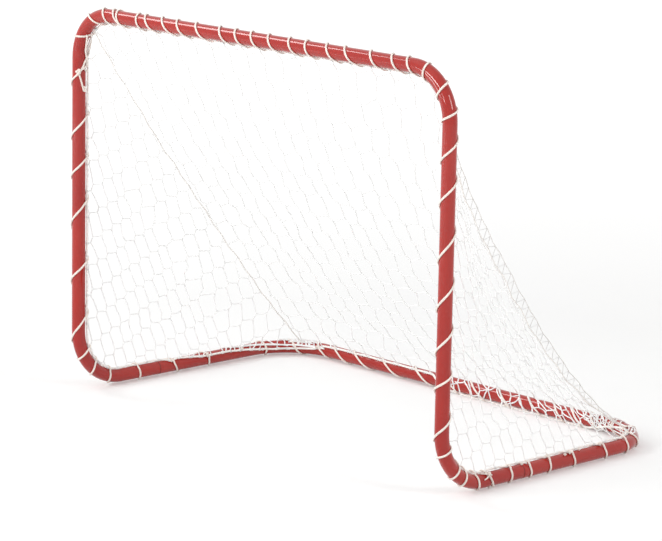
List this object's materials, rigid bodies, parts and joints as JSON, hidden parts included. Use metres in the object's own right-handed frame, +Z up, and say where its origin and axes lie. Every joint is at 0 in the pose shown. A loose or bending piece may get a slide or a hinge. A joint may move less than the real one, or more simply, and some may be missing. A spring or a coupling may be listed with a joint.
{
  "type": "hockey goal net",
  "caption": "Small tube-frame hockey goal: a front hoop and a U-shaped rear base push together and carry a sloped net laced on with cord.",
  "frame": {"origin": "centre of the footprint, on the floor that the goal stands on", "axes": "+Z is up, +X is to the right as seen from the front, and the mouth faces -Y"},
  "size_m": [0.7862, 0.4628, 0.583],
  "materials": {
    "red_paint": "gloss red enamel on steel tube",
    "edge_cord": "twisted white polyester cord",
    "lacing_cord": "braided white polyester cord",
    "netting": "thin white knotted polyester twine"
  },
  "bodies": {
    "root": {"front_hoop": "red_paint", "rear_base": "red_paint", "edge_cord": "edge_cord", "back_net": "netting", "left_net": "netting", "right_net": "netting", "left_seam_cord": "edge_cord", "right_seam_cord": "edge_cord", "lacing_crossbar": "lacing_cord", "lacing_left_post": "lacing_cord", "lacing_right_post": "lacing_cord", "lacing_left_side": "lacing_cord", "lacing_right_side": "lacing_cord", "lacing_rear_bar": "lacing_cord", "end_knot": "lacing_cord", "tie_knots": "lacing_cord"}
  },
  "joints": []
}
